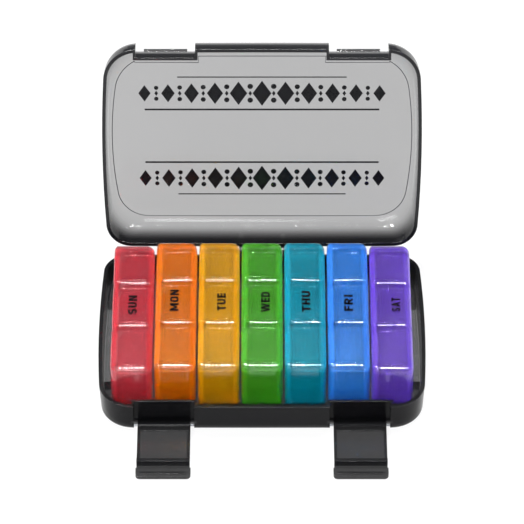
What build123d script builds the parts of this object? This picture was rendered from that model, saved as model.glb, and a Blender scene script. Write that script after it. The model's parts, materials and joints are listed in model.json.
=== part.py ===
from build123d import *

import math
import os

# A weekly pill organizer: a flat carrying case that stands open on a table, with seven narrow
# day boxes side by side in it. Each day box has three compartments with their own flip lids.
# All sizes are in millimetres. The origin is the middle of the case's underside, +Z is up,
# -Y is the front with the latches, and the case lid is hinged at the back.

# Day boxes
days = ["sun", "mon", "tue", "wed", "thu", "fri", "sat"]
meals = ["front", "middle", "rear"]
box_width = 24.0
box_length = 107.0
box_height = 34.2
box_gap = 1.2
box_setback = 2.1
box_wall = 1.4
box_floor = 1.6
box_corner = 5.0
box_bottom_edge = 1.5
box_far_edge = 4.4
box_partition = 1.4
outer_drop = 2.4

# Compartment lids and their hinges
hinge_radius = 2.0
lid_gap = 0.3
cap_height = 4.0
plate_thickness = 1.4
front_edge = 1.5
front_post = 5.5
rear_rim = 7.2
ear_width = 5.4
ear_relief = 0.2
stub_radius = 0.9
stub_grip = 0.8
stub_clearance = 0.05
seam_width = 0.5
seam_depth = 0.35
panel_margin = 3.2
panel_groove = 0.45
panel_depth = 0.25
thumb_width = 12.0
thumb_height = 2.0
thumb_depth = 0.7

# Inner tray
tray_clearance = 0.3
pocket_clearance = 0.3
tray_floor = 1.2
tray_wall = 1.5
deck_height = 9.6
finger_length = 67.0
rib_width = 1.2
rib_height = 1.6

# Case base
side_room = 6.1
end_room = 8.95
base_wall = 2.2
base_floor = 1.6
base_height = 19.5
base_draft = 1.0
base_edge = 3.2
case_corner = 20.0
rear_corner_cut = 5.0
side_bulge = 2.6
front_bulge = 0.4

# Case lid
parting_gap = 0.3
headroom = 2.8
lid_wall = 2.0
lid_top = 2.0
lid_side_inset = 1.2
lid_side_draft = 1.0
lid_side_edge = 4.0
lid_rear_draft = 1.2
lid_rear_edge = 8.0
lid_front_wall = 5.5
lid_front_bulge = 1.0
lid_corner_growth = 12.0
lid_bulge_growth = 5.0
lid_levels = 10
case_open_angle = 106.3

# Case hinge at the back
case_knuckle_radius = 2.3
case_hinge_offset = 2.85
case_pin_radius = 1.0
base_knuckle = 21.4
lid_arm_width = 2.6
lid_arm_reach = 17.0
lid_arm_depth = 2.0
knuckle_gap = 0.5
knuckle_root = 3.0

# Latches, their pockets and pins
latch_end_distance = 39.1
latch_width = 30.6
latch_side_gap = 2.2
latch_pocket_depth = 5.0
latch_pocket_wall = 1.5
lid_notch_depth = 5.6
latch_barrel_radius = 2.1
latch_barrel_gap = 0.35
latch_ground_gap = 0.6
latch_thickness = 2.2
latch_border = 1.6
latch_border_height = 0.7
latch_panel_start = 5.5
latch_top_gap = 0.3
latch_corner = 2.5
latch_flare = 0.5
latch_pin_radius = 0.8
latch_pin_grip = 1.2
pin_fit = 0.02
pin_running = 0.05
catch_rise = 11.5
catch_height = 2.0
catch_setback = 5.7
catch_width = 25.6
hook_height = 2.4
hook_overlap = 1.0
hook_clearance = 0.3
lip_step = 1.2

# Places worked out from the sizes above
overshoot = 1.0
day_count = len(days)
pitch = box_width + box_gap
row_width = day_count * box_width + (day_count - 1) * box_gap
case_length = row_width + 2 * (side_room + base_wall)
half_length = case_length / 2
latch_centre = half_length - latch_end_distance
case_depth = box_length + 2 * (end_room + base_wall)
half_depth = case_depth / 2
tray_top = base_floor + tray_floor
box_top = tray_top + outer_drop + box_height
lid_base = base_height + parting_gap
lid_height = box_top - base_height + headroom + lid_top
lid_front_radius = lid_height - lid_front_wall + lid_front_bulge
case_height = lid_base + lid_height
cap_base = box_height - cap_height
body_top = cap_base - lid_gap
hinge_x = -box_width / 2 + hinge_radius
hinge_z = box_height - hinge_radius
hinge_seat = hinge_z - hinge_radius - lid_gap
seam_x = hinge_x + hinge_radius + lid_gap
span = box_length / len(meals)
case_hinge_y = half_depth + case_hinge_offset
case_hinge_z = base_height + parting_gap / 2
latch_pocket = latch_width + 2 * latch_side_gap
pocket_face = -half_depth + latch_pocket_depth
latch_axis_y = pocket_face - latch_barrel_gap - latch_barrel_radius
latch_axis_z = latch_ground_gap + latch_barrel_radius
latch_length = case_height - latch_top_gap - latch_axis_z
latch_face = latch_axis_y - latch_barrel_radius
latch_inner = latch_face + latch_thickness
hook_base = lid_base + catch_rise + catch_height + hook_clearance
hook_tip = -half_depth + catch_setback + hook_overlap


def block(x, y, z):
    """A box between a low and a high value on each axis."""
    centre = Pos((x[0] + x[1]) / 2, (y[0] + y[1]) / 2, (z[0] + z[1]) / 2)
    return centre * Box(x[1] - x[0], y[1] - y[0], z[1] - z[0])


def rod_x(radius, x, y, z):
    """A round bar along X between two values of x."""
    return Pos((x[0] + x[1]) / 2, y, z) * Rot(0, 90, 0) * Cylinder(radius, x[1] - x[0])


def rod_y(radius, x, y, z):
    """A round bar along Y between two values of y."""
    return Pos(x, (y[0] + y[1]) / 2, z) * Rot(90, 0, 0) * Cylinder(radius, y[1] - y[0])


def case_outline(half_x, front, rear, height, corner, bulge=side_bulge):
    """The case's rounded outline at a height, with its front and rear edges drawn in."""
    front_y = -half_depth + front
    rear_y = half_depth - rear
    end_x = half_x - bulge
    low = front_y + front_bulge
    high = rear_y - front_bulge
    middle = (front_y + rear_y) / 2
    with BuildSketch(Plane.XY.offset(height)) as outline:
        with BuildLine():
            ThreePointArc((-end_x, low), (0, front_y), (end_x, low))
            ThreePointArc((end_x, low), (half_x, middle), (end_x, high))
            ThreePointArc((end_x, high), (0, rear_y), (-end_x, high))
            ThreePointArc((-end_x, high), (-half_x, middle), (-end_x, low))
        make_face()
        fillet(outline.vertices().group_by(Axis.Y)[0], corner)
        fillet(outline.vertices().group_by(Axis.Y)[-1], corner - rear_corner_cut)
    return outline.sketch.face()


def tapered(low_inset, high_inset, low, high):
    """A solid between two case outlines."""
    faces = []
    for inset, height in ((low_inset, low), (high_inset, high)):
        faces.append(case_outline(half_length - inset, inset, inset, height, case_corner - inset))
    return Part() + loft(faces, ruled=True)


def rounded(radius, into):
    """How far a quarter round has come in at a distance past its start."""
    return radius - math.sqrt(max(0, radius**2 - max(0, into) ** 2))


def domed(wall, low, high):
    """The lid's shape, drawn in by wall: steep sides with rounded tops and a long rounded front."""
    side_edge = lid_side_edge - wall
    rear_edge = lid_rear_edge - wall
    faces = []
    for level in range(lid_levels + 1):
        rise = low + (high - low) * math.sin(math.pi / 2 * level / lid_levels)
        share = rise / lid_height
        side = wall + lid_side_draft * share + rounded(side_edge, rise - high + side_edge)
        rear = wall + lid_rear_draft * share + rounded(rear_edge, rise - high + rear_edge)
        front = wall + rounded(lid_front_radius - wall, rise - lid_front_wall)
        corner = case_corner - side + lid_corner_growth * share**4
        half_x = half_length - lid_side_inset - side
        bulge = side_bulge + lid_bulge_growth * share**4
        faces.append(case_outline(half_x, front, rear, lid_base + rise, corner, bulge))
    return Part() + loft(faces, ruled=True)


def base_inset(height):
    """How far the base's outer face is drawn in at a height."""
    return base_draft * (1 - height / base_height)


def latch_pockets(grow, low, high):
    """The two latch pockets in the front, widened and deepened by grow."""
    cut = Part()
    for centre in (-latch_centre, latch_centre):
        half = latch_pocket / 2 + grow
        cut += block(
            (centre - half, centre + half),
            (-half_depth - overshoot, pocket_face + grow),
            (low - overshoot, high + overshoot),
        )
    return cut


def lid_notches(wall):
    """The lid's two notches over the latches. They follow its rounded front at an even depth."""
    cut = Part()
    axis_y = -half_depth + lid_notch_depth + lid_front_radius
    bend = lid_base + lid_front_wall
    for centre in (-latch_centre, latch_centre):
        half = latch_pocket / 2 + wall
        across = (centre - half, centre + half)
        reach = (-half_depth - overshoot, axis_y)
        notch = block(across, reach, (lid_base - overshoot, case_height + overshoot))
        wide = (across[0] - overshoot, across[1] + overshoot)
        notch -= rod_x(lid_front_radius - wall, wide, axis_y, bend) + block(
            wide, (axis_y - lid_front_radius + wall, axis_y + overshoot), (0, bend)
        )
        cut += notch
    return cut


def pin_length():
    """A latch pin crosses its pocket and grips both side walls."""
    return latch_pocket + 2 * latch_pin_grip


def make_base():
    """The shallow tub that everything else stands on or hangs from."""
    outer = tapered(base_draft, 0, 0, base_height)
    outer = fillet(outer.edges().group_by(Axis.Z)[0], base_edge)
    over = base_height + overshoot
    inner = tapered(base_wall + base_inset(base_floor), base_wall + base_inset(over), base_floor, over)
    inner -= latch_pockets(latch_pocket_wall, 0, base_height)
    base = outer - latch_pockets(0, 0, base_height) - inner
    half = base_knuckle / 2
    base += rod_x(case_knuckle_radius, (-half, half), case_hinge_y, case_hinge_z)
    base += block(
        (-half, half),
        (half_depth - base_wall + base_draft, case_hinge_y),
        (case_hinge_z - knuckle_root, base_height),
    )
    bore = (-half - overshoot, half + overshoot)
    base -= rod_x(case_pin_radius + pin_fit, bore, case_hinge_y, case_hinge_z)
    reach = pin_length() / 2
    for centre in (-latch_centre, latch_centre):
        ends = (centre - reach, centre + reach)
        base -= rod_x(latch_pin_radius + pin_fit, ends, latch_axis_y, latch_axis_z)
    return base


def place_of(index):
    """The middle of a day box's underside, as (x, z). The two outer boxes sit lower."""
    x = (index - (day_count - 1) / 2) * pitch
    outer = index in (0, day_count - 1)
    return x, tray_top if outer else tray_top + outer_drop


def make_tray():
    """The inner rack: one pocket per day box, thin walls between them and finger room at the sides."""
    low_inset = base_wall + base_inset(base_floor) + tray_clearance
    high_inset = base_wall + base_inset(deck_height) + tray_clearance
    tray = tapered(low_inset, high_inset, base_floor, deck_height)
    tray -= latch_pockets(latch_pocket_wall + tray_clearance, 0, base_height)
    half_row = row_width / 2 + pocket_clearance
    bay_front = box_setback - box_length / 2 - pocket_clearance
    bay_rear = box_setback + box_length / 2 + pocket_clearance
    above = deck_height + overshoot
    for index in range(day_count):
        x, floor = place_of(index)
        half = box_width / 2 + pocket_clearance
        tray -= block((x - half, x + half), (bay_front, bay_rear), (floor, above))
        if floor > tray_top:
            hollow = half - tray_wall
            depth = (bay_front + tray_wall, bay_rear - tray_wall)
            tray -= block((x - hollow, x + hollow), depth, (base_floor - overshoot, floor - tray_floor))
    for side in (-1, 1):
        near = half_row - pocket_clearance
        across = sorted((side * near, side * case_length / 2))
        tray -= block(across, (-finger_length / 2, finger_length / 2), (tray_top, above))
    room = (base_floor - overshoot, deck_height - tray_wall)
    strip = half_depth - base_wall - base_draft - tray_clearance - tray_wall
    clear = latch_pocket / 2 + latch_pocket_wall + tray_clearance + tray_wall
    tray -= block((clear - latch_centre, latch_centre - clear), (-strip, bay_front - tray_wall), room)
    for x, _ in [place_of(index) for index in range(2, day_count - 2)]:
        tray += block(
            (x - rib_width / 2, x + rib_width / 2),
            (-half_depth + base_wall + base_draft, bay_front),
            (deck_height - tray_wall, deck_height + rib_height),
        )
    return tray


def turned(shape, y, z, degrees):
    """A shape turned about a line along X."""
    return shape.rotate(Axis((0, y, z), (1, 0, 0)), degrees)


def make_case_lid():
    """The deep lid, drawn closed and then turned open about the case hinge."""
    inner = domed(lid_wall, -overshoot, lid_height - lid_top) - lid_notches(latch_pocket_wall)
    lid = domed(0, 0, lid_height) - lid_notches(0) - inner
    catch_base = lid_base + catch_rise
    notch_face = -half_depth + lid_notch_depth + rounded(lid_front_radius, catch_rise - lid_front_wall)
    for centre in (-latch_centre, latch_centre):
        lid += block(
            (centre - catch_width / 2, centre + catch_width / 2),
            (-half_depth + catch_setback, notch_face + latch_pocket_wall / 2),
            (catch_base, catch_base + catch_height),
        )
    inner_end = base_knuckle / 2 + knuckle_gap
    for side in (-1, 1):
        across = sorted((side * inner_end, side * (inner_end + lid_arm_width)))
        arm = rod_x(case_knuckle_radius, across, case_hinge_y, case_hinge_z)
        arm += block(
            across,
            (half_depth - lid_wall / 2, case_hinge_y),
            (lid_base, case_hinge_z + case_knuckle_radius),
        )
        arm += block(
            across,
            (half_depth - lid_wall - lid_rear_draft, half_depth - lid_rear_draft + lid_arm_depth),
            (lid_base, lid_base + lid_arm_reach),
        )
        arm -= inner
        bore = (across[0] - overshoot, across[1] + overshoot)
        arm -= rod_x(case_pin_radius + pin_running, bore, case_hinge_y, case_hinge_z)
        lid += arm
    return turned(lid, case_hinge_y, case_hinge_z, -case_open_angle)


def make_case_pin():
    """The plain pin through the case hinge."""
    reach = base_knuckle / 2 + knuckle_gap + lid_arm_width
    return rod_x(case_pin_radius, (-reach, reach), case_hinge_y, case_hinge_z)


def make_latch(centre):
    """A latch, drawn closed and then turned down flat in front of the case."""
    half = latch_width / 2
    tip = latch_axis_z + latch_length
    ends = (centre - half, centre + half)
    plate = block(ends, (latch_face, latch_inner), (latch_axis_z, tip))
    lip_base = hook_base + hook_height + lip_step
    lip_ends = (ends[0] - latch_flare, ends[1] + latch_flare)
    plate += block(lip_ends, (latch_face, latch_inner), (lip_base, tip))
    plate = fillet(plate.edges().filter_by(Axis.Y).group_by(Axis.Z)[-1], latch_corner)
    inside = latch_inner + latch_border_height
    panel = (latch_axis_z + latch_panel_start, hook_base)
    for x in ((ends[0], ends[0] + latch_border), (ends[1] - latch_border, ends[1])):
        plate += block(x, (latch_inner, inside), (latch_axis_z, hook_base + hook_height))
    plate += block(ends, (latch_inner, inside), (latch_axis_z, panel[0]))
    plate += block(ends, (latch_inner, hook_tip), (hook_base, hook_base + hook_height))
    plate += block(
        (lip_ends[0] + latch_corner, lip_ends[1] - latch_corner),
        (latch_inner, inside),
        (tip - latch_border - latch_border, tip - latch_border),
    )
    plate += rod_x(latch_barrel_radius, ends, latch_axis_y, latch_axis_z)
    bore = (ends[0] - overshoot, ends[1] + overshoot)
    plate -= rod_x(latch_pin_radius + pin_running, bore, latch_axis_y, latch_axis_z)
    return turned(plate, latch_axis_y, latch_axis_z, 90)


def make_latch_pin(centre):
    """The pin that a latch turns on, held in the pocket's side walls."""
    reach = pin_length() / 2
    return rod_x(latch_pin_radius, (centre - reach, centre + reach), latch_axis_y, latch_axis_z)


def rounded_block(x, y, top, edge, corner):
    """A block with rounded upright edges and a rounded top rim."""
    shape = block(x, y, (-box_height, top))
    shape = fillet(shape.edges().filter_by(Axis.Z), corner)
    return fillet(shape.edges().group_by(Axis.Z)[-1], edge)


def box_envelope(inset):
    """The rounded outside of a whole day box, drawn in by inset. The right and rear edges are rounder."""
    half_x = box_width / 2 - inset
    half_y = box_length / 2 - inset
    top = box_height - inset
    corner = box_corner - inset
    shape = rounded_block((-half_x, half_x), (-half_y, half_y), top, hinge_radius - inset, corner)
    far = rounded_block((-box_length, half_x), (-box_length, half_y), top, box_far_edge - inset, corner)
    lowest = block((-box_width, box_width), (-box_length, box_length), (inset, box_height))
    shape = shape & far & lowest
    if inset < box_bottom_edge:
        shape = fillet(shape.edges().group_by(Axis.Z)[0], box_bottom_edge - inset)
    return shape


def boundaries():
    """The y of each compartment's two ends, from the front."""
    start = -box_length / 2
    return [start + span * index for index in range(len(meals) + 1)]


def make_box(envelope, inner):
    """A day box: three open compartments, with a rear rim, posts and ears that carry the lids' stub pins."""
    wide = (-box_width, box_width)
    long = (-box_length, box_length)
    lines = boundaries()
    rim = (lines[-1] - rear_rim, lines[-1])
    post = (lines[0], lines[0] + front_post)
    box = envelope & block(wide, long, (-overshoot, body_top))
    box -= block((-box_width, seam_x), (post[1], rim[0]), (hinge_seat, box_height))
    box += envelope & block(wide, rim, (body_top - box_wall, box_height))
    for index in range(len(meals)):
        first = lines[index] + (box_wall if index == 0 else box_partition / 2)
        last = lines[index + 1] - (box_wall if index == len(meals) - 1 else box_partition / 2)
        lowest = inner & block(wide, (first, last), (box_floor, body_top - box_wall))
        mouth = inner & block(wide, (first, min(last, rim[0])), (body_top - box_wall, box_height))
        box -= lowest + mouth
    box -= inner & block(wide, (rim[0] + box_wall, rim[1]), (body_top, box_height - plate_thickness))
    round_top = rod_y(hinge_radius, hinge_x, long, hinge_z)
    round_top += block((-box_width, hinge_x), long, (0, box_height))
    round_top += block((-box_width, hinge_x + hinge_radius), long, (0, hinge_z))
    across = (-box_width, hinge_x + hinge_radius)
    box += (envelope & block(across, post, (hinge_seat - box_wall, box_height))) & round_top
    for line in lines[1:-1]:
        y = (line - ear_width / 2, line + ear_width / 2)
        radius = hinge_radius - ear_relief
        box += rod_y(radius, hinge_x, y, hinge_z)
        box += block((hinge_x - radius, hinge_x + radius), y, (hinge_seat - box_wall, hinge_z))
        hole = (y[0] - overshoot, y[1] + overshoot)
        box -= rod_y(stub_radius + stub_clearance, hinge_x, hole, hinge_z)
    grip = stub_grip + lid_gap
    for hole in ((post[1] - grip, post[1] + overshoot), (rim[0] - overshoot, rim[0] + grip)):
        box -= rod_y(stub_radius + stub_clearance, hinge_x, hole, hinge_z)
    for y in (lines[0], lines[-1]):
        box -= block(seam_groove(), (y - seam_depth, y + seam_depth), (box_corner, box_height))
    for index in range(len(meals)):
        middle = (lines[index] + lines[index + 1]) / 2
        box -= block(
            (box_width / 2 - thumb_depth, box_width),
            (middle - thumb_width / 2, middle + thumb_width / 2),
            (body_top - thumb_height, body_top + overshoot),
        )
    return box


def seam_groove():
    """The two sides of the shallow groove that follows the hinge seam."""
    middle = seam_x - lid_gap / 2
    return middle - seam_width / 2, middle + seam_width / 2


def make_compartment_lid(envelope, inner, index):
    """A flip lid: a shallow cap over one compartment, with a hinge barrel along its left edge."""
    lines = boundaries()
    rearmost = index == len(meals) - 1
    first = lines[index] + (0 if index == 0 else lid_gap)
    last = lines[index + 1] - (rear_rim if rearmost else 0) - lid_gap
    high = (cap_base, box_height + overshoot)
    lid = envelope & block((seam_x, box_width), (first, last), high)
    if index > 0:
        edges = lid.edges().filter_by(Axis.X).group_by(Axis.Z)[-1]
        lid = fillet(edges.group_by(Axis.Y)[0], front_edge)
    hollow = (first + box_wall, last - box_wall)
    ceiling = box_height - plate_thickness
    lid -= inner & block((seam_x + box_wall, box_width), hollow, (cap_base - overshoot, ceiling))
    start = lines[index] + (front_post if index == 0 else ear_width / 2) + lid_gap
    end = last if rearmost else lines[index + 1] - ear_width / 2 - lid_gap
    barrel = rod_y(hinge_radius, hinge_x, (start, end), hinge_z)
    neck = block((hinge_x, seam_x + box_wall / 2), (start, end), (hinge_z - stub_radius, box_height))
    top = (box_height - seam_depth, box_height + overshoot)
    groove = block(seam_groove(), (start - overshoot, end + overshoot), top)
    reach = lid_gap + stub_grip
    stubs = rod_y(stub_radius, hinge_x, (start - reach, end + reach), hinge_z)
    frame_x = (seam_x + panel_margin / 2, box_width / 2 - box_far_edge)
    frame_y = (first + panel_margin, last - panel_margin)
    top = (box_height - panel_depth, box_height + overshoot)
    island_x = (frame_x[0] + panel_groove, frame_x[1] - panel_groove)
    island_y = (frame_y[0] + panel_groove, frame_y[1] - panel_groove)
    ring = block(frame_x, frame_y, top) - block(island_x, island_y, top)
    return lid + barrel + neck + stubs - groove - ring


def write(shape, name):
    """One STEP file per piece."""
    shape.label = name
    export_step(shape, f"parts/{name}.step")


os.makedirs("parts", exist_ok=True)
write(make_base(), "case_base")
write(make_tray(), "inner_tray")
write(make_case_lid(), "case_lid")
write(make_case_pin(), "case_hinge_pin")
for side_name, side_centre in (("left", -latch_centre), ("right", latch_centre)):
    write(make_latch(side_centre), f"latch_{side_name}")
    write(make_latch_pin(side_centre), f"latch_pin_{side_name}")

outside = box_envelope(0)
inside = box_envelope(box_wall)
day_box = make_box(outside, inside)
day_lids = [make_compartment_lid(outside, inside, index) for index in range(len(meals))]
for day_index, day in enumerate(days):
    day_x, day_floor = place_of(day_index)
    place = Pos(day_x, box_setback, day_floor)
    write(place * day_box, f"{day}_box")
    for meal, day_lid in zip(meals, day_lids):
        write(place * day_lid, f"{day}_lid_{meal}")
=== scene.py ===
import json
import math

import bpy
from mathutils import Matrix, Vector


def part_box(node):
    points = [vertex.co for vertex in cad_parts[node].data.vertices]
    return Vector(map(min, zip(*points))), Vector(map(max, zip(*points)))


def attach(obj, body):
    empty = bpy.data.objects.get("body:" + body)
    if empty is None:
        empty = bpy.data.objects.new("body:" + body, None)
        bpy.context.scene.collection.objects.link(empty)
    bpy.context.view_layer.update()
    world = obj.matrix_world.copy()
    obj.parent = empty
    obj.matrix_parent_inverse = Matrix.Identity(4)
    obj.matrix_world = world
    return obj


# A weekly pill organizer, open on a table. Everything is in metres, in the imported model's frame.
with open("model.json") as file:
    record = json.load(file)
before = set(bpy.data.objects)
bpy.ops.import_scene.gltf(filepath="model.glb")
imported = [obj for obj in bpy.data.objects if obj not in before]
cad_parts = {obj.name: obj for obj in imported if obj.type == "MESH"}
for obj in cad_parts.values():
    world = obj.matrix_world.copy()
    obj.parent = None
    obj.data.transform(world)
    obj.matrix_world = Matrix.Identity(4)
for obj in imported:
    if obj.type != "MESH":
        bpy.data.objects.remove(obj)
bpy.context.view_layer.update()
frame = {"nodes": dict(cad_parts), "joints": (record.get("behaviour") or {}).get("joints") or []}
nodes = frame["nodes"]
mm = 0.001

days = ["sun", "mon", "tue", "wed", "thu", "fri", "sat"]
meals = ["front", "middle", "rear"]


def middle(name, axis):
    """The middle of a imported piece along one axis, 0 to 2."""
    low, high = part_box(name)
    return (low[axis] + high[axis]) / 2


# The case lid is packed open. Its print and its shades are worked out as if it were closed and flat.
joints = {joint["name"]: joint for joint in frame["joints"]}
lid_joint = joints["case_lid_hinge"]
lid_pivot = Vector(lid_joint["pos_m"])
lid_open = math.radians(-lid_joint["range_deg"][0])


def lid_turn(angle):
    """A turn of the case lid about its hinge."""
    return Matrix.Translation(lid_pivot) @ Matrix.Rotation(angle, 4, "X") @ Matrix.Translation(-lid_pivot)


closing = lid_turn(lid_open)
opening = lid_turn(-lid_open)
closed_points = [closing @ vertex.co for vertex in nodes["case_lid"].data.vertices]
lid_top = max(point.z for point in closed_points)
lid_rise = lid_top - lid_pivot.z


# Nodes and colours
def add_node(tree, kind, inputs=None, **settings):
    """A new node. Each of its inputs is a value or the output of another node."""
    node = tree.nodes.new(kind)
    for name, value in settings.items():
        setattr(node, name, value)
    for socket, value in (inputs or {}).items():
        if isinstance(value, bpy.types.NodeSocket):
            tree.links.new(value, node.inputs[socket])
        else:
            node.inputs[socket].default_value = value
    return node


def calculated(tree, operation, *values):
    """The result of a Math node."""
    return add_node(tree, "ShaderNodeMath", dict(enumerate(values)), operation=operation).outputs["Value"]


def linear(red, green, blue):
    """A colour given as it looks on screen, 0 to 255, as the shader's own values."""
    channels = []
    for value in (red, green, blue):
        value = value / 255
        channels.append(value / 12.92 if value <= 0.04045 else ((value + 0.055) / 1.055) ** 2.4)
    return (*channels, 1.0)


def mixed(low, high, share):
    """A colour between two colours."""
    return tuple(a + (b - a) * share for a, b in zip(low, high))


def darkened(colour, share):
    return mixed(colour, linear(0, 0, 0), share)


day_colours = {
    "sun": linear(196, 60, 74),
    "mon": linear(216, 124, 2),
    "tue": linear(210, 160, 2),
    "wed": linear(82, 174, 38),
    "thu": linear(0, 158, 180),
    "fri": linear(58, 142, 220),
    "sat": linear(118, 80, 196),
}
day_opacity = 0.72
# How much painted shade darkens a box's middle below its colour, standing in for the shaded inside
# seen through the lid, at most and at least, and how much stronger its margins are.
middle_painted_shade_most = 0.26
middle_painted_shade_least = 0.06
margin_gain = 1.22
# Half the width of a box's middle darkened with painted shade, and half the width of its soft border.
panel_half = 8.6 * mm
panel_blur = 0.6 * mm

# How much of the light the case lid stops, from its rim at 0 to its flat top at 1.
lid_opacity = [(0.0, 0.985), (0.22, 0.97), (0.5, 0.72), (0.8, 0.4), (1.0, 0.33)]

# Between which values of a noise pattern one colour turns into the other.
blend_start = 0.35
blend_end = 0.65
wave_height = 0.2 * mm
wave_detail = 3.0
edge_samples = 4


class Shader:
    """A material with one Principled shader and the nodes that feed it."""

    def __init__(self, name):
        self.material = bpy.data.materials.new(name)
        self.material.use_nodes = True
        self.tree = self.material.node_tree
        self.principled = self.tree.nodes["Principled BSDF"]
        self.place = self.add("ShaderNodeTexCoord").outputs["Object"]

    def add(self, kind, inputs=None, **settings):
        return add_node(self.tree, kind, inputs, **settings)

    def set(self, **values):
        """Sets the Principled shader's own sockets, with _ for a space."""
        for name, value in values.items():
            self.principled.inputs[name.replace("_", " ")].default_value = value

    def link(self, output, socket):
        self.tree.links.new(output, self.principled.inputs[socket])

    def vectors(self, operation, first, second, result):
        """One of the results of a Vector Math node."""
        return self.add("ShaderNodeVectorMath", {0: first, 1: second}, operation=operation).outputs[result]

    def coordinate(self, axis):
        return self.add("ShaderNodeSeparateXYZ", {"Vector": self.place}).outputs[axis]

    def noise(self, scale, detail=2.0, stretch=(1, 1, 1)):
        """A noise pattern, with scale in bumps per metre."""
        mapping = self.add("ShaderNodeMapping", {"Vector": self.place, "Scale": stretch})
        inputs = {"Vector": mapping.outputs["Vector"], "Scale": scale, "Detail": detail}
        return self.add("ShaderNodeTexNoise", inputs).outputs["Fac"]

    def ramp(self, factor, stops):
        """Colours blended by a number, each with its place from 0 to 1."""
        node = self.add("ShaderNodeValToRGB", {"Fac": factor})
        elements = node.color_ramp.elements
        for index, (place, colour) in enumerate(stops):
            element = elements[index] if index < len(elements) else elements.new(place)
            element.position = place
            element.color = colour
        return node.outputs["Color"]

    def flow(self, pattern, low, high):
        """Two colours that run into each other by a noise pattern."""
        return self.ramp(pattern, [(blend_start, low), (blend_end, high)])

    def spread(self, factor, low, high, start=0.0, end=1.0):
        """A number that goes from low to high while the factor goes from start to end."""
        inputs = {"Value": factor, "From Min": start, "From Max": end, "To Min": low, "To Max": high}
        return self.add("ShaderNodeMapRange", inputs).outputs["Result"]

    def roughen(self, scale, low, high):
        """A roughness that varies a little from place to place."""
        self.link(self.spread(self.noise(scale), low, high), "Roughness")

    def finish_surface(self, strength, scale, soften):
        """Moulded surface: a slight waviness, and edges that catch the light."""
        edge = self.add("ShaderNodeBevel", {"Radius": soften}, samples=edge_samples)
        waves = {"Height": self.noise(scale, wave_detail), "Strength": strength, "Distance": wave_height}
        bump = self.add("ShaderNodeBump", {"Normal": edge.outputs["Normal"], **waves})
        self.link(bump.outputs["Normal"], "Normal")


# Materials
def tinted_plastic(name, colour, middle_x):
    """Clear coloured plastic. A box's margins are thicker, and so stronger in colour, than its middle,
    which also has painted shade.
    """
    shader = Shader(name)
    pattern = shader.noise(38, stretch=(1, 0.35, 1))
    # The middle is darkened with painted shade for the shaded inside of the box; a noise pattern varies
    # how much.
    painted_shade_middle = shader.flow(pattern, darkened(colour, middle_painted_shade_most), darkened(colour, middle_painted_shade_least))
    strong = (*[min(1.0, value * margin_gain) for value in colour[:3]], 1.0)
    offset = calculated(shader.tree, "SUBTRACT", shader.coordinate("X"), middle_x)
    distance = calculated(shader.tree, "ABSOLUTE", offset)
    share = shader.spread(distance, 0.0, 1.0, panel_half - panel_blur, panel_half + panel_blur)
    # The Mix node's two colour inputs are its sockets 6 and 7, and its colour output is its socket 2.
    blend = shader.add("ShaderNodeMix", {"Factor": share, 6: painted_shade_middle, 7: strong}, data_type="RGBA")
    shader.link(blend.outputs[2], "Base Color")
    shader.roughen(240, 0.10, 0.17)
    shader.set(Alpha=day_opacity, IOR=1.49, Transmission_Weight=0.7, Coat_Weight=0.2, Coat_Roughness=0.03)
    shader.finish_surface(0.12, 420, 0.35 * mm)
    return shader.material


def smoke_plastic(name, shade, opacity, heights):
    """Smoke-grey clear plastic, thicker high up. Its opacity goes from the first value to the second
    between the two heights."""
    shader = Shader(name)
    pattern = shader.noise(30, stretch=(0.4, 1, 1))
    shader.link(shader.flow(pattern, darkened(shade, 0.25), shade), "Base Color")
    shader.roughen(260, 0.14, 0.22)
    shader.link(shader.spread(shader.coordinate("Z"), *opacity, *heights), "Alpha")
    shader.set(IOR=1.5, Specular_IOR_Level=0.15)
    shader.finish_surface(0.1, 380, 0.4 * mm)
    return shader.material


def lid_plastic(name, shade):
    """Smoke-grey clear plastic of the case lid. Its flat top lets the most light through, and its rim
    the least, because the walls there are seen along their height."""
    shader = Shader(name)
    pattern = shader.noise(30, stretch=(0.4, 1, 1))
    shader.link(shader.flow(pattern, darkened(shade, 0.3), shade), "Base Color")
    shader.roughen(260, 0.06, 0.12)
    shift = shader.vectors("SUBTRACT", shader.place, lid_pivot, "Vector")
    rise = shader.vectors("DOT_PRODUCT", shift, (0, math.sin(lid_open), math.cos(lid_open)), "Value")
    height = shader.spread(rise, 0.0, 1.0, 0.0, lid_rise)
    stops = [(place, (value, value, value, 1)) for place, value in lid_opacity]
    shader.link(shader.ramp(height, stops), "Alpha")
    shader.set(IOR=1.5, Specular_IOR_Level=0.3)
    shader.finish_surface(0.08, 300, 0.4 * mm)
    return shader.material


def ink_for_print_and_painted_shade(name, shade):
    """Matt ink, a little uneven: for print, and for the painted shade of the lid's edge line."""
    shader = Shader(name)
    worn = mixed(shade, linear(70, 70, 72), 0.12)
    shader.link(shader.flow(shader.noise(900, 4.0), shade, worn), "Base Color")
    shader.roughen(700, 0.7, 0.8)
    shader.set(Specular_IOR_Level=0.0)
    return shader.material


def pin_metal(name):
    """Drawn steel wire with fine lines along it."""
    shader = Shader(name)
    lines = shader.noise(600, stretch=(0.05, 1, 1))
    shader.link(shader.flow(lines, linear(120, 122, 126), linear(168, 170, 174)), "Base Color")
    shader.link(shader.spread(lines, 0.25, 0.4), "Roughness")
    shader.set(Metallic=1.0)
    return shader.material


def give(target, material):
    """One material for the whole of an object."""
    target.data.materials.clear()
    target.data.materials.append(material)


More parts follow.
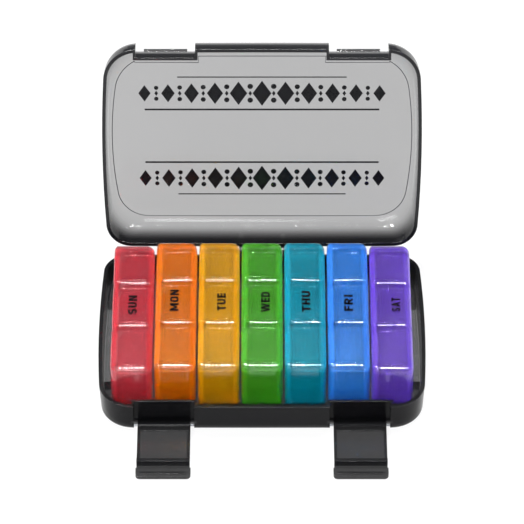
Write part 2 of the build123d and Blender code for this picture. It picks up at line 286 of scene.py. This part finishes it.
def dress_case():
    """The case's own pieces: smoke-grey plastic and steel pins."""
    base = smoke_plastic("dark_smoke", linear(9, 9, 11), (0.5, 0.95), (1.7 * mm, 2.2 * mm))
    latch = smoke_plastic("latch_smoke", linear(17, 17, 19), (0.78, 0.97), (2.9 * mm, 3.3 * mm))
    tray = smoke_plastic("tray_smoke", linear(20, 20, 23), (0.35, 0.8), (2.9 * mm, 3.4 * mm))
    steel = pin_metal("pin_steel")
    give(nodes["case_base"], base)
    give(nodes["inner_tray"], tray)
    give(nodes["case_lid"], lid_plastic("clear_smoke", linear(18, 18, 21)))
    for name in ("latch_left", "latch_right"):
        give(nodes[name], latch)
    for name in ("case_hinge_pin", "latch_pin_left", "latch_pin_right"):
        give(nodes[name], steel)


def dress_boxes():
    """Each day's box and its three lids in that day's colour."""
    for day in days:
        plastic = tinted_plastic(f"{day}_plastic", day_colours[day], middle(f"{day}_box", 0))
        give(nodes[f"{day}_box"], plastic)
        for meal in meals:
            give(nodes[f"{day}_lid_{meal}"], plastic)


dress_case()
dress_boxes()


# Helpers for pieces
def add_mesh(name, points, faces, material, body):
    """A mesh piece that rides on a body."""
    mesh = bpy.data.meshes.new(name)
    mesh.from_pydata([tuple(point) for point in points], [], faces)
    mesh.update()
    piece = bpy.data.objects.new(name, mesh)
    bpy.context.scene.collection.objects.link(piece)
    give(piece, material)
    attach(piece, body)


def prism(outline, low, high):
    """The points and faces of a flat shape with a thickness."""
    count = len(outline)
    points = [Vector((x, y, low)) for x, y in outline] + [Vector((x, y, high)) for x, y in outline]
    faces = [list(range(count))[::-1], list(range(count, 2 * count))]
    for index in range(count):
        after = (index + 1) % count
        faces.append([index, after, count + after, count + index])
    return points, faces


def joined(shapes):
    """Several point and face lists as one."""
    points, faces = [], []
    for shape_points, shape_faces in shapes:
        start = len(points)
        points += shape_points
        faces += [[start + index for index in face] for face in shape_faces]
    return points, faces


# Day labels. A letter is drawn one unit high, and its width is given in the same units.
label_height = 5.0 * mm
label_lift = 0.02 * mm
label_thickness = 0.06 * mm
letter_gap = 0.17
stroke = 0.21
leg_stroke = stroke * 1.05
bowl_overlap = 0.01
round_steps = 10
letter_widths = {"M": 0.92, "W": 1.16, "I": stroke, "A": 0.76, "E": 0.54, "F": 0.52, "T": 0.6}
usual_width = 0.66
# For each day, in mm: how far right of the box's middle the name is, how far back of the middle
# lid's middle, and how long it is.
label_places = {
    "sun": (-0.2, 0.5, 15.7),
    "mon": (-0.9, 1.9, 17.7),
    "tue": (1.45, 0.5, 14.3),
    "wed": (2.0, 0.5, 16.8),
    "thu": (0.6, 1.0, 17.4),
    "fri": (0.2, -0.3, 13.5),
    "sat": (2.8, 0.7, 11.8),
}


def slanted(x0, y0, x1, y1, wide=stroke):
    """A straight stroke with level ends, from its left foot to its left head."""
    return [(x0, y0), (x0 + wide, y0), (x1 + wide, y1), (x1, y1)]


def upright(x):
    return slanted(x, 0, x, 1)


def level(x0, x1, y):
    """A level stroke whose lower side is at y."""
    return [(x0, y), (x1, y), (x1, y + stroke), (x0, y + stroke)]


def bowed(centre, radius, start, end):
    """A round stroke along an ellipse, as a row of four-sided pieces. Angles are in degrees."""
    pieces = []
    for step in range(round_steps):
        corners = []
        for share, inner in ((step, 0), (step, 1), (step + 1, 1), (step + 1, 0)):
            turn = math.radians(start + (end - start) * share / round_steps)
            reach = [side - inner * stroke for side in radius]
            corners.append((centre[0] + reach[0] * math.cos(turn), centre[1] + reach[1] * math.sin(turn)))
        pieces.append(corners)
    return pieces


def letter(name):
    """A plain bold capital: its width and the flat pieces that it is made of."""
    wide = letter_widths.get(name, usual_width)
    half = stroke / 2
    far = wide - stroke
    top = 1 - stroke
    sides = [upright(0), upright(far)]
    # How high the round ends of U, O and D are, and half the height of a bowl of R and S.
    bend = 0.34
    bowl = (1 + stroke) / 4 + bowl_overlap
    # How low the M's middle comes, where the W's feet stand, and how high the A's bar is.
    dip = 0.2
    foot = wide * 0.2
    bar_low = 0.2
    bar_start = wide * 0.22
    bar_end = wide * 0.78
    # How long the level strokes of D and R are before they turn round, and how wide that turn is.
    straight = wide * 0.45
    round_off = wide - straight
    lower_end = bowed((wide / 2, bend), (wide / 2, bend), 180, 360)
    upper_end = bowed((wide / 2, 1 - bend), (wide / 2, bend), 0, 180)
    knee = 1 - 2 * bowl
    shapes = {
        "I": [upright(0)],
        "T": [level(0, wide, top), upright(wide / 2 - half)],
        "E": [upright(0)] + [level(0, wide, y) for y in (0, 0.5 - half, top)],
        "F": [upright(0)] + [level(0, wide, y) for y in (0.5 - half, top)],
        "H": sides + [level(0, wide, 0.5 - half)],
        "N": sides + [slanted(far, 0, 0, 1)],
        "M": sides + [slanted(far / 2, dip, x, 1) for x in (0, far)],
        "W": [slanted(foot, 0, x, 1) for x in (0, far / 2)]
        + [slanted(far - foot, 0, x, 1) for x in (far / 2, far)],
        "A": [slanted(x, 0, far / 2, 1) for x in (0, far)] + [level(bar_start, bar_end, bar_low)],
        "U": [slanted(x, bend, x, 1) for x in (0, far)] + lower_end,
        "O": [slanted(x, bend, x, 1 - bend) for x in (0, far)] + upper_end + lower_end,
        "D": [upright(0), level(0, straight, 0), level(0, straight, top)]
        + [slanted(far, bend, far, 1 - bend)]
        + bowed((straight, 1 - bend), (round_off, bend), 0, 90)
        + bowed((straight, bend), (round_off, bend), 270, 360),
        "R": [upright(0), level(0, straight, top), level(0, straight, knee)]
        + bowed((straight, 1 - bowl), (round_off, bowl), -90, 90)
        + [slanted(far, 0, straight - half, knee + half, leg_stroke)],
        "S": bowed((wide / 2, 1 - bowl), (wide / 2, bowl), 20, 270)
        + bowed((wide / 2, bowl), (wide / 2, bowl), -160, 90),
    }
    return wide, shapes[name]


def add_label(day, ink):
    """A day's name, read from the front edge towards the back."""
    right, back, length = label_places[day]
    outlines = []
    reach = 0
    for name in day.upper():
        wide, pieces = letter(name)
        outlines += [[(reach + x, y) for x, y in piece] for piece in pieces]
        reach += wide + letter_gap
    reach -= letter_gap
    along = length * mm / reach
    middle_x = middle(f"{day}_box", 0) + right * mm
    middle_y = middle(f"{day}_lid_middle", 1) + back * mm
    lid_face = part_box(f"{day}_lid_middle")[1][2] + label_lift
    shapes = []
    for outline in outlines:
        across = [middle_x - (y - 0.5) * label_height for x, y in outline]
        lengthwise = [middle_y + (x - reach / 2) * along for x, y in outline]
        shapes.append(prism(list(zip(across, lengthwise)), lid_face, lid_face + label_thickness))
    points, faces = joined(shapes)
    add_mesh(f"{day}_label", points, faces, ink, f"{day}_lid_middle")


label_ink = ink_for_print_and_painted_shade("label_ink", linear(14, 10, 12))
for day in days:
    add_label(day, label_ink)

# Printed bands on the case lid, drawn on the closed lid's flat top
print_lift = 0.02 * mm
print_thickness = 0.05 * mm
front_band = -25 * mm
rear_band = 31 * mm
band_step = 14 * mm
# How many lozenges stand on either side of a band's middle one, half the middle one's size along X
# and along Y, and how much smaller each next one is.
band_side = 5
lozenge_half = (5.6 * mm, 8.2 * mm)
lozenge_shrink = 0.07
# Between two lozenges stand a small one and a dot before and behind it.
small_lozenge_half = (1.1 * mm, 1.7 * mm)
dot_radius = 1.7 * mm
dot_distance = 4.6 * mm
dot_shrink = 0.05
dot_sides = 20
rule_distance = 10.6 * mm
long_rule_half = (70 * mm, 0.55 * mm)
short_rule_half = (long_rule_half[0] * 0.72, 0.35 * mm)


def lozenge(x, y, half_x, half_y):
    return [(x - half_x, y), (x, y - half_y), (x + half_x, y), (x, y + half_y)]


def disc(x, y, radius):
    turns = [2 * math.pi * side / dot_sides for side in range(dot_sides)]
    return [(x + radius * math.cos(turn), y + radius * math.sin(turn)) for turn in turns]


def strip(x, y, half_x, half_y):
    corners = ((-half_x, -half_y), (half_x, -half_y), (half_x, half_y), (-half_x, half_y))
    return [(x + right, y + back) for right, back in corners]


def band(middle_y, side):
    """Lozenges and dots between two rules. The long rule is on the given side, 1 or -1."""
    shapes = []
    for index in range(-band_side, band_side + 1):
        size = 1 - lozenge_shrink * abs(index)
        half_x, half_y = (half * size for half in lozenge_half)
        shapes.append(lozenge(index * band_step, middle_y, half_x, half_y))
    for index in range(-band_side, band_side):
        place = index + 0.5
        x = place * band_step
        size = 1 - dot_shrink * abs(place)
        for lift in (-dot_distance, dot_distance):
            shapes.append(disc(x, middle_y + lift * size, dot_radius * size))
        shapes.append(lozenge(x, middle_y, *small_lozenge_half))
    shapes.append(strip(0, middle_y + side * rule_distance, *long_rule_half))
    shapes.append(strip(0, middle_y - side * rule_distance, *short_rule_half))
    return shapes


def add_print():
    """Both bands, as one piece of ink on the case lid."""
    low = lid_top + print_lift
    outlines = band(front_band, 1) + band(rear_band, -1)
    points, faces = joined([prism(outline, low, low + print_thickness) for outline in outlines])
    ink = ink_for_print_and_painted_shade("design_ink", linear(26, 26, 30))
    points = [opening @ point for point in points]
    add_mesh("lid_border_print", points, faces, ink, "case_lid")


add_print()

# The dark line of painted shade round the flat inside of the case lid's top
lid_skin = 2.0 * mm
edge_width = 0.45 * mm
edge_depth = 0.12 * mm
# How much of the line's depth is sunk in the lid.
edge_sink = 0.02 * mm
# How near to the inside's height a face counts as part of it, and to how many digits points match.
flat_within = 0.02 * mm
point_digits = 6


def ceiling_edge(ceiling):
    """The edge round the faces that lie flat at a height inside the closed lid, as points in order."""
    uses = {}
    for face in nodes["case_lid"].data.polygons:
        if any(abs(closed_points[index].z - ceiling) >= flat_within for index in face.vertices):
            continue
        for edge in face.edge_keys:
            ends = [tuple(round(value, point_digits) for value in closed_points[index]) for index in edge]
            key = tuple(sorted(ends))
            uses[key] = uses.get(key, 0) + 1
    after = {}
    for (first, second), count in uses.items():
        if count == 1:
            after.setdefault(first, []).append(second)
            after.setdefault(second, []).append(first)
    start = min(after)
    route = [start, after[start][0]]
    while True:
        onward = [point for point in after[route[-1]] if point != route[-2]]
        if not onward or onward[0] == start:
            return [Vector(point) for point in route]
        route.append(onward[0])


def add_ceiling_edge():
    """The thin dark line of painted shade where the lid's flat top meets its rounded sides."""
    route = ceiling_edge(lid_top - lid_skin)
    centre = sum(route, Vector()) / len(route)
    profile = [(0, 0.0), (0, edge_depth), (edge_width, edge_depth), (edge_width, 0.0)]
    points, faces = [], []
    for point in route:
        inward = centre - point
        inward.z = 0
        inward.normalize()
        for reach, drop in profile:
            points.append(opening @ (point + inward * reach - Vector((0, 0, drop - edge_sink))))
    sides = len(profile)
    for index in range(len(route)):
        near = index * sides
        far = (index + 1) % len(route) * sides
        for side in range(sides):
            other = (side + 1) % sides
            faces.append([near + side, near + other, far + other, far + side])
    # This dark ink is painted shade where the lid's top bends into its sides, not print.
    shade = ink_for_print_and_painted_shade("edge_shade", linear(60, 60, 64))
    add_mesh("lid_panel_edge_painted_shade", points, faces, shade, "case_lid")


add_ceiling_edge()

# Floor, light and camera
floor_reach = 6.0
floor_white = (0.86, 0.86, 0.86, 1)
floor_glow = 0.86
room_colour = (0.93, 0.95, 1.0, 1)
room_light = 0.62
room_reflection = 0.25
lamp_target = Vector((0, 0, 0.04))


def white_table():
    """White paint. The camera sees it white, also through clear plastic, with soft shadows on it."""
    material = bpy.data.materials.new("white_table")
    material.use_nodes = True
    tree = material.node_tree
    paint = tree.nodes["Principled BSDF"]
    paint.inputs["Base Color"].default_value = floor_white
    paint.inputs["Roughness"].default_value = 0.7
    rays = add_node(tree, "ShaderNodeLightPath").outputs
    seen = calculated(tree, "MAXIMUM", rays["Is Camera Ray"], rays["Is Glossy Ray"])
    seen = calculated(tree, "MAXIMUM", seen, rays["Is Transmission Ray"])
    share = calculated(tree, "MULTIPLY", seen, floor_glow)
    glow = add_node(tree, "ShaderNodeEmission", {"Strength": 1.0}).outputs["Emission"]
    mix = add_node(tree, "ShaderNodeMixShader", {"Fac": share, 1: paint.outputs["BSDF"], 2: glow})
    tree.links.new(mix.outputs["Shader"], tree.nodes["Material Output"].inputs["Surface"])
    return material


def add_floor():
    """A white table."""
    mesh = bpy.data.meshes.new("floor")
    corners = [(x * floor_reach, y * floor_reach, 0) for x, y in ((-1, -1), (1, -1), (1, 1), (-1, 1))]
    mesh.from_pydata(corners, [], [[0, 1, 2, 3]])
    floor = bpy.data.objects.new("floor", mesh)
    bpy.context.scene.collection.objects.link(floor)
    give(floor, white_table())


def add_room():
    """The room's own light. A shiny surface mirrors the soft boxes more than the room, so the room
    is dimmer in reflections."""
    world = bpy.data.worlds.new("studio")
    bpy.context.scene.world = world
    world.use_nodes = True
    tree = world.node_tree
    background = tree.nodes["Background"]
    background.inputs["Color"].default_value = room_colour
    glossy = add_node(tree, "ShaderNodeLightPath").outputs["Is Glossy Ray"]
    inputs = {"Value": glossy, "To Min": room_light, "To Max": room_reflection}
    strength = add_node(tree, "ShaderNodeMapRange", inputs).outputs["Result"]
    tree.links.new(strength, background.inputs["Strength"])


def add_lamp(name, place, size, power, shine_only=False):
    """A soft box that faces the object. It can light the highlights alone."""
    lamp = bpy.data.lights.new(name, "AREA")
    lamp.shape = "RECTANGLE"
    lamp.size, lamp.size_y = size
    lamp.energy = power
    holder = bpy.data.objects.new(name, lamp)
    bpy.context.scene.collection.objects.link(holder)
    holder.visible_diffuse = not shine_only
    holder.location = place
    holder.rotation_mode = "QUATERNION"
    holder.rotation_quaternion = (lamp_target - Vector(place)).to_track_quat("-Z", "Y")


add_floor()
add_room()
add_lamp("overhead_box", place=(0, 0.42, 1.1), size=(1.3, 0.22), power=14)
add_lamp("front_box", place=(-0.5, -1.3, 1.1), size=(1.0, 0.7), power=36)
add_lamp("highlight_box", place=(0, 0.32, 1.13), size=(1.5, 0.28), power=170, shine_only=True)

# The camera looks a little above its target, so that the object sits low in the picture.
camera_elevation = math.radians(44.2)
camera_look_above = math.radians(0.938)
camera_distance = 2.4
camera_target = Vector((0, 0, 0.02))
camera_reach = 20.0
focal_pixels = 4080
frame_pixels = 524
sensor = 36.0


def add_camera():
    """The photograph's camera."""
    data = bpy.data.cameras.new("camera")
    data.sensor_width = sensor
    data.lens = sensor * focal_pixels / frame_pixels
    data.clip_end = camera_reach
    camera = bpy.data.objects.new("camera", data)
    bpy.context.scene.collection.objects.link(camera)
    back = Vector((0, -math.cos(camera_elevation), math.sin(camera_elevation)))
    camera.location = camera_target + back * camera_distance
    camera.rotation_euler = (math.pi / 2 - (camera_elevation - camera_look_above), 0, 0)
    bpy.context.scene.camera = camera


add_camera()
bpy.context.scene.view_settings.view_transform = "Standard"
